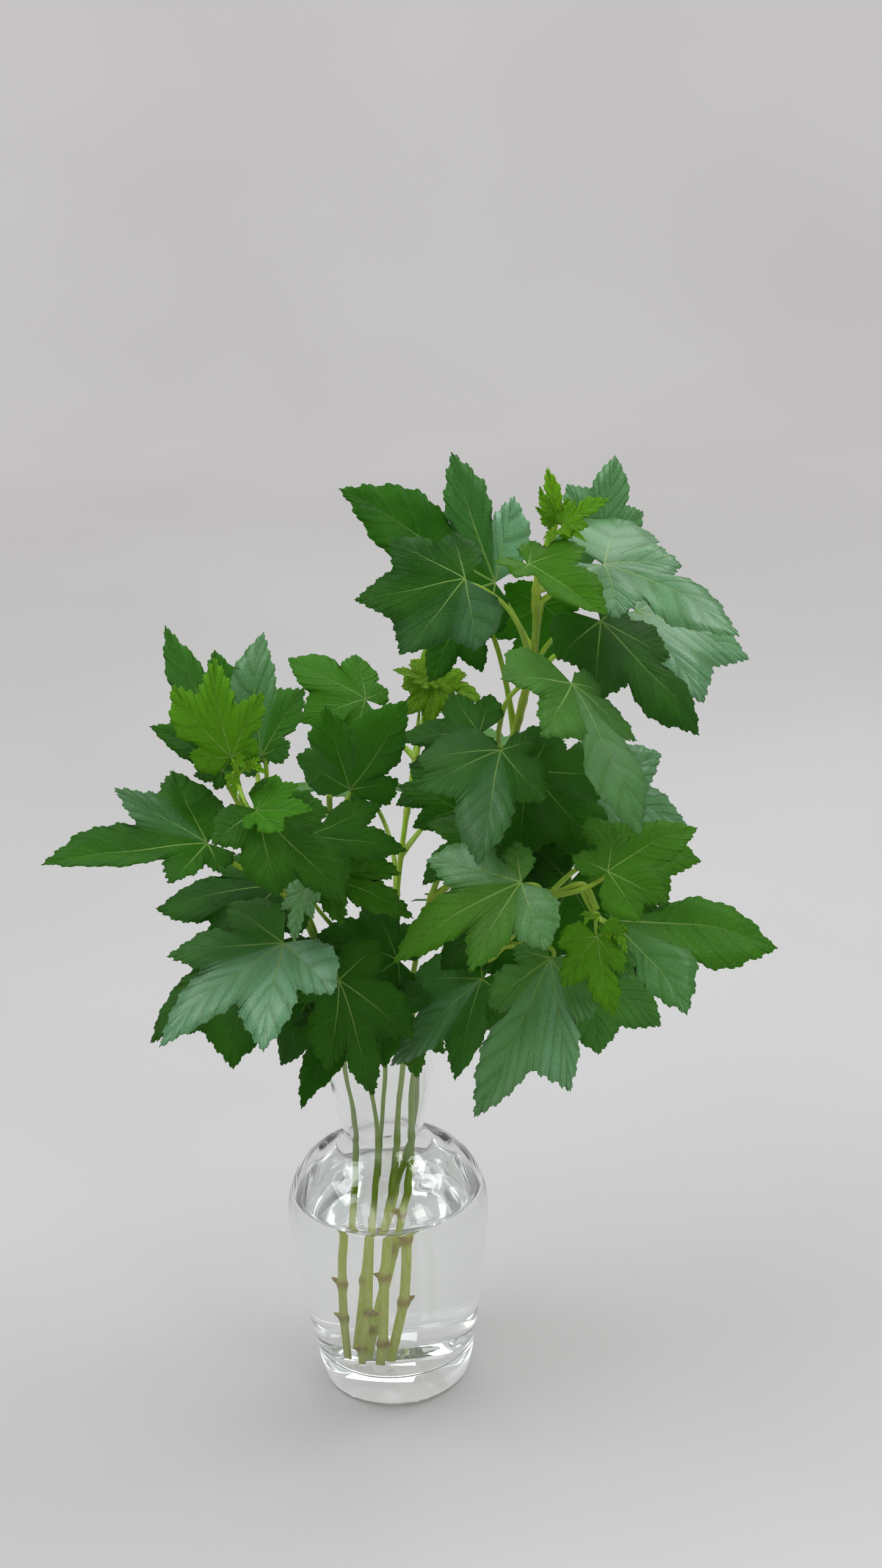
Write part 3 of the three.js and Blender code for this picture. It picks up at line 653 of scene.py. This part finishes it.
def half_lobe(form, lobe, turn):
    """Half a lobe: rows, each from vein to margin, of (x, y, ribs, vein, edge, reach, shingle, lobe).

    Lobes count from 0, the rightmost, to 4. Turn is 1 for the half on the left of its vein, else -1.
    """
    lobes = form["lobes"]
    angle, length = lobes[lobe]
    rank = abs(lobe - 2)
    ribs = form["ribs"][rank]
    width = form["widths"][rank] * length
    beside = lobe + turn
    if 0 <= beside < len(lobes):
        gap = abs(lobes[beside][0] - angle)
        border = angle + turn * gap / 2
        share = form["notches"][min(rank, abs(beside - 2))] * (1 + (EVEN_GAP - gap) * 0.006)
        reach = min(share, 0.9) * min(length, lobes[beside][1])
        width *= min(max(gap / EVEN_GAP, 0.7), 1.15)
    else:
        border = turn * min(abs(angle) + EVEN_GAP, NOTCH_ANGLE)
        reach = form["notches"][2] * length
    centre = math.radians(angle)
    offset = math.radians(abs(border - angle))
    near, wide = reach * math.cos(offset) / length, reach * math.sin(offset)
    extra = wide - width * lobe_shape(near)
    outline = []
    for u in (0, 0.12, 0.3, 0.5, 0.7, 0.85, 0.94, 1):
        s = near + (1 - near) * u
        out = width * lobe_shape(s) + extra * (1 - u) ** (1.2 if extra > 0 else 4)
        outline.append((s * length, out))
    teeth = ribs * TEETH_PER_RIB
    rows = []
    for t in [(j + q) / teeth for j in range(teeth) for q in TOOTH_CUTS] + [1]:
        edge = catmull_rom(outline, t)
        ahead = catmull_rom(outline, min(t + 0.01, 1)) - catmull_rom(outline, max(t - 0.01, 0))
        ahead /= max(np.linalg.norm(ahead), 1e-9)
        outwards = np.array((-ahead[1], ahead[0]))
        size = min(t / 0.12, 1) * min((1 - t) / 0.3, 1) ** 0.7
        scallop = size * form["scallop"] * (saw(ribs * t + 0.5) - 0.6)
        tooth = size * form["tooth"] * (saw(teeth * t) - 0.6)
        toothed = edge + outwards * (scallop + tooth) + ahead * (0.1 * scallop + 0.35 * tooth)
        half_width = VEIN_HALF_WIDTH * (1 - 0.8 * t)
        row = []
        for column in COLUMNS:
            rim = toothed if column == 1 else edge
            along = length * t * (1 - column) + rim[0] * column
            out = rim[1] * column
            x = along * math.cos(centre) - turn * out * math.sin(centre)
            y = along * math.sin(centre) + turn * out * math.cos(centre)
            rib = ribs * (t + RIB_ARCH * 4 * column * (1 - column))
            shingle = turn * out * min(3 * t, 1)
            beyond = 0.5 * turn * (column * max(1 - 4 * t, 0) if t else 1)
            row.append((x, y, rib, out / half_width, column, t, shingle, lobe + beyond))
        rows.append(row)
    return rows


def flat_leaf(form):
    """The leaf spread flat, for a middle lobe of length 1: points, faces and its open border."""
    points, faces, notches = [], [], {}
    for lobe in range(len(form["lobes"])):
        veins = {}
        for turn in (1, -1):
            ids = []
            for i, row in enumerate(half_lobe(form, lobe, turn)):
                line = []
                for k, values in enumerate(row):
                    # The first row is shared with the lobe beside it, and the vein with the other half
                    shared, key = (notches, (max(lobe, lobe + turn), k)) if i == 0 else (veins, i)
                    if i == 0 and k == 0:
                        key = "base"
                    if i and k and not (k == len(row) - 1 and math.dist(values[:2], row[0][:2]) < 1e-9):
                        line.append(len(points))
                        points.append(values)
                        continue
                    if key not in shared:
                        shared[key] = len(points)
                        points.append(values)
                    line.append(shared[key])
                ids.append(line)
            for low, high in zip(ids, ids[1:]):
                for k in range(len(COLUMNS) - 1):
                    quad = [low[k], high[k], high[k + 1], low[k + 1]]
                    if turn > 0:
                        quad.reverse()
                    corners = list(dict.fromkeys(quad))
                    if len(corners) > 2:
                        faces.append(corners)
    edges = {(a, b) for f in faces for a, b in zip(f, f[1:] + f[:1])}
    border = [(a, b) for a, b in edges if (b, a) not in edges]
    return np.array(points), faces, border


def leaf_axes(base, tip, facing):
    """Directions along the middle vein, to the left of it and out of the upper side, and the length."""
    along = tip - base
    length = along.length
    along.normalize()
    azimuth, rise = (math.radians(a) for a in facing)
    up = Vector((math.sin(azimuth) * math.cos(rise), -math.cos(azimuth) * math.cos(rise), math.sin(rise)))
    up = (up - along * up.dot(along)).normalized()
    return along, up.cross(along), up, length


def blade_height(form, x, y, ribs, edge, reach, shingle, draw):
    """How far each point of a flat leaf rises over its plane, with the waves of one leaf."""
    near = np.zeros_like(x)
    for degrees, length in form["lobes"]:
        angle = math.radians(degrees)
        run = np.clip(x * math.cos(angle) + y * math.sin(angle), 0, length)
        away = np.hypot(x - run * math.cos(angle), y - run * math.sin(angle))
        near += np.exp(-45 * away)
    fold = -np.log(near) / 45
    arch = form["droop"] * (x - x * x - y * y)
    puff = 0.0045 * np.sin(math.pi * ribs) ** 2 * 4 * edge * (1 - edge) * np.clip(4 * reach - 0.5, 0, 1)
    a, b, c, d = (draw.uniform(0, 2 * math.pi) for _ in range(4))
    wave = 0.016 * np.sin(4.5 * x + a) * np.sin(5 * y + b) + 0.008 * np.sin(11 * x + c) * np.cos(9 * y)
    ruffle = 0.005 * edge ** 3 * np.sin(math.pi * ribs + d)
    far = np.hypot(x, y)
    curl = -draw.uniform(0, 0.2) * np.clip(far - 0.6, 0, None) ** 2
    loose = (wave + curl) * np.clip(far * 2, 0, 1)
    level = arch + form["fold"] * fold + form["cup"] * abs(y) + form["shingle"] * shingle
    return level + puff + loose + ruffle


def sway(x, y, draw):
    """The flat leaf's points moved a little in its plane, so that its veins curve."""
    reach, angle = np.hypot(x, y), np.arctan2(y, x)
    a = draw.uniform(0, 2 * math.pi)
    turn = angle + 0.06 * (np.sin(3 * reach + a) - math.sin(3 + a))
    return reach * np.cos(turn), reach * np.sin(turn)


class Foliage:
    """The blades of one sprig or shoot, gathered into one mesh."""

    NAMES = ("ribs", "vein", "edge", "reach", "upper", "age", "tone", "gloss_and_painted_sheen")

    def __init__(self):
        self.points = []
        self.faces = []
        self.values = {name: [] for name in self.NAMES}

    def add(self, base, tip, facing, form, age, tone, gloss_and_painted_sheen, draw):
        flat, faces, border = flat_leaf(form)
        x, y, ribs, vein, edge, reach, shingle, lobe = flat.T
        along, across, up, length = leaf_axes(mm(base), mm(tip), facing)
        height = blade_height(form, x, y, ribs, edge, reach, shingle, draw)
        ridge = mm(VEIN_RIDGE) * np.exp(-vein) * (1 - 0.7 * reach)
        x, y = sway(x, y, draw)
        middle = np.stack((x, y, height), axis=1) @ (np.array((along, across, up)) * length)
        middle += np.array(mm(base))
        half = np.outer(np.full(len(x), mm(BLADE) / 2), up)
        first, count = len(self.points), len(x)
        self.points.extend(map(tuple, np.concatenate([middle + half, middle - half - np.outer(ridge, up)])))
        for face in faces:
            self.faces.append([first + k for k in face])
            self.faces.append([first + count + k for k in reversed(face)])
        for a, b in border:
            self.faces.append([first + b, first + a, first + count + a, first + count + b])
        gloss_and_painted_sheen = np.interp(lobe, range(5), np.broadcast_to(gloss_and_painted_sheen, 5))
        both = (ribs, vein, edge, reach, None, np.full(count, age), np.full(count, tone), gloss_and_painted_sheen)
        for name, values in zip(self.NAMES, both):
            sides = [np.ones(count), np.zeros(count)] if values is None else [values, values]
            self.values[name].extend(np.concatenate(sides))

    def piece(self, name, finish):
        return smooth_piece(name, self.points, self.faces, finish, self.values)


def stalk_path(root, base, tip, facing, form):
    """A curved stalk from its root on the stem to the leaf's underside, arriving from below and behind."""
    along, _, up, length = leaf_axes(mm(base), mm(tip), facing)
    base = mm(base)
    span = (base - root).length
    reach = min(mm(STALK_REACH) / length, 0.2)
    lift = form["droop"] * (reach - reach ** 2) * length - mm(STALK_SINK)
    end = base + along * reach * length + up * lift
    bend = base - (along + up) * 0.3 * span
    return [root * (1 - t) ** 2 + bend * 2 * t * (1 - t) + end * t ** 2 for t in np.linspace(0, 1, 13)]


# Stems, by Geometry Nodes


class Branches:
    """Lines for the stem tree, with the radius, the joints and the age at each point."""

    NAMES = ("thickness", "joint", "under_water", "age", "fuzz")

    def __init__(self):
        self.points = []
        self.edges = []
        self.values = {name: [] for name in self.NAMES}

    def line(self, points, thickness, joint=0, under_water=0, age=0, fuzz=0):
        first = len(self.points)
        self.points.extend(tuple(p) for p in points)
        self.edges.extend((first + k, first + k + 1) for k in range(len(points) - 1))
        for name, values in zip(self.NAMES, (thickness, joint, under_water, age, fuzz)):
            self.values[name].extend(np.broadcast_to(values, len(points)))


def tree_inputs(tree, rows):
    """Opens a geometry tree: its sockets, its modifier flag and its input node."""
    tree.is_modifier = True
    for name, kind, value in rows:
        socket = tree.interface.new_socket(name, in_out="INPUT", socket_type="NodeSocket" + kind)
        if value is not None:
            socket.default_value = value
    tree.interface.new_socket("Geometry", in_out="OUTPUT", socket_type="NodeSocketGeometry")
    return Graph(tree), tree.nodes.new("NodeGroupInput")


def named(graph, name):
    return graph.add("GeometryNodeInputNamedAttribute", {"data_type": "FLOAT"}, {"Name": name})


def stem_tree():
    """Turns lines with a thickness into round closed stems."""
    tree = bpy.data.node_groups.new("round_stems", "GeometryNodeTree")
    graph, given = tree_inputs(tree, (
        ("Geometry", "Geometry", None), ("Sides", "Int", STEM_SIDES), ("Spacing", "Float", 0.0015),
        ("Finish", "Material", None),
    ))
    lines, sides, spacing, finish = (Wire(graph, given.outputs[k]) for k in range(4))
    curve = graph.add("GeometryNodeMeshToCurve", None, {"Mesh": lines})
    curve = graph.add("GeometryNodeResampleCurve", {"mode": "LENGTH"}, {"Curve": curve, "Length": spacing})
    ring = graph.add("GeometryNodeCurvePrimitiveCircle", None, {"Resolution": sides, "Radius": 1.0})
    tube = graph.add("GeometryNodeCurveToMesh", None, {
        "Curve": curve, "Profile Curve": ring, "Scale": named(graph, "thickness"), "Fill Caps": True})
    tube = graph.add("GeometryNodeSetShadeSmooth", None, {"Geometry": tube})
    tube = graph.add("GeometryNodeRealizeInstances", None, {"Geometry": tube})
    tube = graph.add("GeometryNodeSetMaterial", None, {"Geometry": tube, "Material": finish})
    graph.add("NodeGroupOutput", None, {"Geometry": tube})
    return tree


def bristle_tree():
    """Stands fine tapered hairs on a stem's surface, where its fuzz allows."""
    tree = bpy.data.node_groups.new("fine_bristles", "GeometryNodeTree")
    graph, given = tree_inputs(tree, (
        ("Geometry", "Geometry", None), ("Density", "Float", 200000.0), ("Length", "Float", 0.0011),
        ("Radius", "Float", 0.00006), ("Seed", "Int", 5), ("Finish", "Material", None),
    ))
    skin, density, length, radius, seed, finish = (Wire(graph, given.outputs[k]) for k in range(6))
    spots = graph.add("GeometryNodeDistributePointsOnFaces", None, {
        "Mesh": skin, "Density": density * named(graph, "fuzz"), "Seed": seed})
    cone = graph.add("GeometryNodeMeshCone", None, {
        "Vertices": 4, "Radius Bottom": radius, "Radius Top": 0.0, "Depth": length})
    sizes = {2: 0.45, 3: 1.0, "Seed": seed}
    size = graph.add("FunctionNodeRandomValue", {"data_type": "FLOAT"}, sizes, output=1)
    hairs = graph.add("GeometryNodeInstanceOnPoints", None, {
        "Points": spots, "Instance": cone, "Rotation": spots.other("Rotation"), "Scale": size})
    hairs = graph.add("GeometryNodeRealizeInstances", None, {"Geometry": hairs})
    hairs = graph.add("GeometryNodeSetMaterial", None, {"Geometry": hairs, "Material": finish})
    graph.add("NodeGroupOutput", None, {"Geometry": hairs})
    return tree


def grown(name, source, tree, **values):
    """A plain mesh piece from a geometry tree run on a copy of the source object's mesh."""
    carrier = linked(name + "_carrier", source)
    modifier = carrier.modifiers.new("grow", "NODES")
    modifier.node_group = tree
    for item in tree.interface.items_tree:
        if item.in_out == "INPUT" and item.name.lower() in values:
            modifier[item.identifier] = values[item.name.lower()]
    bpy.context.view_layer.update()
    result = carrier.evaluated_get(bpy.context.evaluated_depsgraph_get())
    mesh = bpy.data.meshes.new_from_object(result)
    mesh.name = name
    bpy.data.objects.remove(carrier)
    return linked(name, mesh)


def swelling(places, joints, width):
    """1 at each joint, falling to 0 over about its width, for places along a stem."""
    return np.max([np.exp(-((places - joint) / width) ** 2) for joint in joints], axis=0)


def taper(radii, t):
    """A stalk's radius in metres: swollen where it leaves the stem and run out under the blade."""
    thick, thin = radii
    width = (thick + (thin - thick) * t) * (1 + 0.35 * np.exp(-(t / 0.1) ** 2))
    return width * (1 - 6 * np.clip(t - 0.9, 0, 1)) * 0.001


def zigzag(points, stubs):
    """Bends the soaked part of a stem a little towards each of its stubs."""
    corners = [(0, 0, 0), *((h, math.cos(math.radians(a)), math.sin(math.radians(a))) for h, a in stubs)]
    corners.append((WATER_LEVEL + 8, 0, 0))
    levels = [mm(c[0]) for c in corners]
    for k in range(2):
        points[:, k] += np.interp(points[:, 2], levels, [mm(BEND) * c[k + 1] for c in corners])


def sprig_branches(sprig, draw):
    """The stem and the leaf stalks of one sprig, with the cut stubs of its lowest side shoots."""
    branches = Branches()
    points = through(sprig["path"], STEM_CUTS) * 0.001
    shares = np.linspace(0, 1, STEM_CUTS + 1)
    length = float(np.sum(np.linalg.norm(np.diff(points, axis=0), axis=1)))
    zigzag(points, sprig["stubs"])
    wet_shares = [float(np.interp(mm(h), points[:, 2], shares)) for h, _ in sprig["stubs"]]
    joints = swelling(shares, [leaf[0] for leaf in sprig["leaves"]], mm(JOINT_WIDTH) / length)
    wet_joints = swelling(shares, wet_shares, mm(WET_JOINT_WIDTH) / length)
    radius = np.interp(points[:, 2], [mm(z) for z in STEM_LEVELS], [mm(r) for r in sprig["radius"]])
    under = np.clip((mm(WATER_LEVEL) - points[:, 2]) / 0.015, 0, 1)
    branches.line(
        points, radius * (1 + 0.22 * joints + 0.45 * wet_joints), np.clip(0.2 * joints + wet_joints, 0, 1),
        under, sprig["age"], 1 - under)
    for share, (_, degrees) in zip(wet_shares, sprig["stubs"]):
        root = np.array([np.interp(share, shares, points[:, k]) for k in range(3)])
        angle = math.radians(degrees)
        aside = np.array((math.cos(angle), math.sin(angle), draw.uniform(-0.2, 0.8)))
        stub = [root + aside * mm(STUB) * t for t in (0, 0.4, 0.75, 1)]
        branches.line(stub, np.array((2.0, 1.9, 1.3, 0.3)) * 0.001, (0.6, 0.8, 1, 1), 1)
    for share, base, tip_point, facing, form, age, *_ in sprig["leaves"]:
        root = Vector([np.interp(share, shares, points[:, k]) for k in range(3)])
        line = stalk_path(root, base, tip_point, facing, form)
        t = np.linspace(0, 1, len(line))
        branches.line(line, taper(form["stalk"], t), 0.12 * np.exp(-(t / 0.08) ** 2), 0, max(age, 0.45), 0.8)
    return branches


def shoot_branches(shoot):
    branches = Branches()
    joint = mm(shoot["joint"])
    for base, tip_point, facing, form, _ in shoot["leaves"]:
        line = stalk_path(joint, base, tip_point, facing, form)
        branches.line(line, taper(form["stalk"], np.linspace(0, 1, len(line))), age=0.9, fuzz=1.4)
    return branches


# The vase and its water


def outer_outline(steps):
    return [tuple(catmull_rom(VASE_OUTLINE, k / steps)) for k in range(steps + 1)]


def inner_radius(height):
    """The inner wall's radius at a height, in millimetres."""
    outline = outer_outline(120)
    return float(np.interp(height, [z for _, z in outline], [r for r, _ in outline])) - VASE_WALL


def inside_outline(top, grow):
    """The inner wall from its rounded floor up to a height, pushed outwards by grow."""
    floor = GLASS_FLOOR - grow
    corner_radius = inner_radius(GLASS_FLOOR + FLOOR_CORNER) + grow
    corner = []
    for k in range(9):
        angle = math.pi / 2 * k / 8
        corner.append((corner_radius - FLOOR_CORNER * (1 - math.sin(angle)),
                       floor + FLOOR_CORNER * (1 - math.cos(angle))))
    heights = np.linspace(GLASS_FLOOR + FLOOR_CORNER, top, 46)[1:]
    return [(0, floor), *corner, *((inner_radius(z) + grow, z) for z in heights)]


def turned(name, rows, finish):
    """A turned piece from rows of (radius, height, stray) in millimetres."""
    points, faces = lathe([[mm(float(v)) for v in row] for row in rows], VASE_SIDES)
    return smooth_piece(name, points, faces, finish)


def vase_piece(finish):
    rim_middle = VASE_OUTLINE[-1][0] - VASE_WALL / 2
    top = VASE_OUTLINE[-1][1]
    rim = []
    for k in range(1, 8):
        angle = math.pi * k / 8
        rim.append((rim_middle + VASE_WALL / 2 * math.cos(angle), top + math.sin(angle), RIM_STRAY))
    outside = [(r, z, OUTER_STRAY) for r, z in outer_outline(60)]
    inside = [(r, z, INNER_STRAY) for r, z in inside_outline(top, 0)]
    piece = turned("glass_vase", [(0, 0, 0), *outside, *rim, *reversed(inside)], finish)
    declare(piece, "glass", "vase")


def water_piece(finish):
    wall = inside_outline(WATER_LEVEL + MENISCUS, WATER_BITE)
    edge = inner_radius(WATER_LEVEL)
    inwards = [k / SKIN_RINGS for k in range(SKIN_RINGS)]
    skin = [(edge * (1 - t), WATER_LEVEL + MENISCUS * math.exp(-edge * t / MENISCUS_WIDTH)) for t in inwards]
    rows = [(r, z, INNER_STRAY) for r, z in [*wall, *skin]]
    piece = turned("vase_water", [*rows, (0, WATER_LEVEL, 0)], finish)
    declare(piece, "water", "water")


# Stage, light and camera


# Sweep, in metres: its grid, where its floor turns up, the curve and the top of its wall, and its glow by
# distance from the middle
GRID = (-9, -4, -3, -2.4, -1.9, -1.4, -0.9, -0.3, 0.3, 0.9, 1.4, 1.9, 2.4, 3, 4, 9)
TURN = 1.9
CURVE = 0.6
WALL_TOP = 5.5
UNDER_FOOT = 0.0004
GLOW = ((0.3, 0.9, 1.4, 1.9, 4), (0.22, 0.42, 0.62, 0.76, 1))


def stage():
    """A pale floor that sweeps up into a plain wall, far enough off to look at the part from behind."""
    profile = [(y, 0) for y in GRID if y <= TURN]
    for k in range(1, 13):
        angle = math.pi / 2 * k / 12
        profile.append((TURN + CURVE * math.sin(angle), CURVE * (1 - math.cos(angle))))
    profile.append((TURN + CURVE, WALL_TOP))
    points = [(x, y, z - UNDER_FOOT) for y, z in profile for x in GRID]
    row = len(GRID)
    faces = [(k, k + 1, k + 1 + row, k + row) for k in range(len(points) - row) if (k + 1) % row]
    finish = stage_finish("pale_sweep", (0.41, 0.40, 0.396), (0.445, 0.436, 0.432))
    glow = np.interp([math.hypot(x, y) for x, y, _ in points], *GLOW)
    smooth_piece("pale_sweep", points, faces, finish, {"glow": glow})


def lamp(name, place, target, size, power, colour, glossy=True):
    data = bpy.data.lights.new(name, "AREA")
    data.shape = "RECTANGLE"
    data.size, data.size_y = size
    data.energy = power
    data.color = colour
    light = linked(name, data)
    light.location = place
    light.rotation_euler = (Vector(target) - Vector(place)).to_track_quat("-Z", "Y").to_euler()
    light.visible_camera = False
    light.visible_glossy = glossy


def lights():
    daylight = (0.94, 0.98, 1.0)
    world = bpy.data.worlds.new("room")
    bpy.context.scene.world = world
    world.use_nodes = True
    world.node_tree.nodes.clear()
    graph = Graph(world.node_tree)
    in_glass = graph.add("ShaderNodeLightPath", output="Is Singular Ray")
    seen = graph.add("ShaderNodeLightPath", output="Is Camera Ray")
    sky = {"Color": (0.94, 0.97, 1.0, 1), "Strength": 0.14 + in_glass * 0.5 + seen * 0.36}
    graph.add("ShaderNodeOutputWorld", None, {"Surface": graph.add("ShaderNodeBackground", None, sky)})
    middle = (0, 0, 0.36)
    lamp("left_window", (-0.66, -0.05, 1.2), middle, (0.8, 0.6), 7.6, daylight)
    lamp("right_window", (0.95, 0.15, 1.4), middle, (0.8, 0.6), 10.4, daylight)
    lamp("high_back", (0.2, 0.72, 1.02), middle, (0.9, 0.4), 3.3, daylight)
    lamp("low_right", (0.5, -0.6, 0.5), (0, 0, 0.1), (0.2, 0.34), 1.0, (1.0, 1.0, 0.98))
    lamp("ceiling", (0, -0.1, 1.9), middle, (1.6, 1.4), 9.3, (0.97, 0.99, 1.0), glossy=False)
    lamp("front", (-0.5, -1.7, 0.8), middle, (1.6, 1.2), 6.5, (1.0, 0.99, 0.97), glossy=False)


PHOTO_SIZE = (1445, 2568)
FOCAL_PIXELS = 4000
CAMERA_PLACE = (40.7, -1159.7, 869.7)
CAMERA_TILT = 23.63
CAMERA_ROLL = 2.7
SENSOR = 36


def camera():
    data = bpy.data.cameras.new("camera")
    data.sensor_width = SENSOR
    data.lens = FOCAL_PIXELS / PHOTO_SIZE[1] * SENSOR
    eye = linked("camera", data)
    eye.location = mm(CAMERA_PLACE)
    aim = Euler((math.radians(90 - CAMERA_TILT), 0, 0)).to_matrix()
    eye.rotation_euler = (aim @ Matrix.Rotation(math.radians(-CAMERA_ROLL), 3, "Z")).to_euler()
    bpy.context.scene.camera = eye


def plant(node, slot, foliage, branches, sides, spacing, seed, finishes, trees):
    """The leaves, the stems and the bristles of one sprig or shoot."""
    leaf, stem, bristle = finishes
    tubes, hairs = trees
    leaves = foliage.piece(f"{node}_leaves", leaf)
    lines = new_mesh(f"{node}_lines", branches.points, branches.edges, [], branches.values)
    stalks = grown(f"{node}_stems", lines, tubes, sides=sides, spacing=mm(spacing), finish=stem)
    bristles = grown(f"{node}_bristles", stalks.data.copy(), hairs, seed=seed, finish=bristle)
    for piece in (leaves, stalks, bristles):
        declare(piece, slot, node)


def main():
    camera()
    stage()
    lights()
    scene = bpy.context.scene
    scene.view_settings.view_transform = "Standard"
    scene.cycles.max_bounces = 28
    scene.cycles.glossy_bounces = 20
    scene.cycles.transmission_bounces = 24
    finishes = leaf_finish(), stem_finish(), bristle_finish()
    trees = stem_tree(), bristle_tree()
    draw = random.Random(7)
    for letter, sprig in SPRIGS.items():
        foliage = Foliage()
        for _, base, tip, facing, form, age, tone, gloss_and_painted_sheen in sprig["leaves"]:
            foliage.add(base, tip, facing, form, age, tone, gloss_and_painted_sheen, draw)
        branches = sprig_branches(sprig, draw)
        plant(f"sprig_{letter}", "leaf", foliage, branches, STEM_SIDES, STEM_SPACING, 3, finishes, trees)
    for letter, shoot in SHOOTS.items():
        foliage = Foliage()
        for base, tip, facing, form, tone in shoot["leaves"]:
            foliage.add(base, tip, facing, form, shoot["age"], tone, 0.05, draw)
        branches = shoot_branches(shoot)
        plant(f"shoot_{letter}", "shoot", foliage, branches, STALK_SIDES, STALK_SPACING, 4, finishes, trees)
    vase_piece(glass_finish())
    water_piece(water_finish())


main()
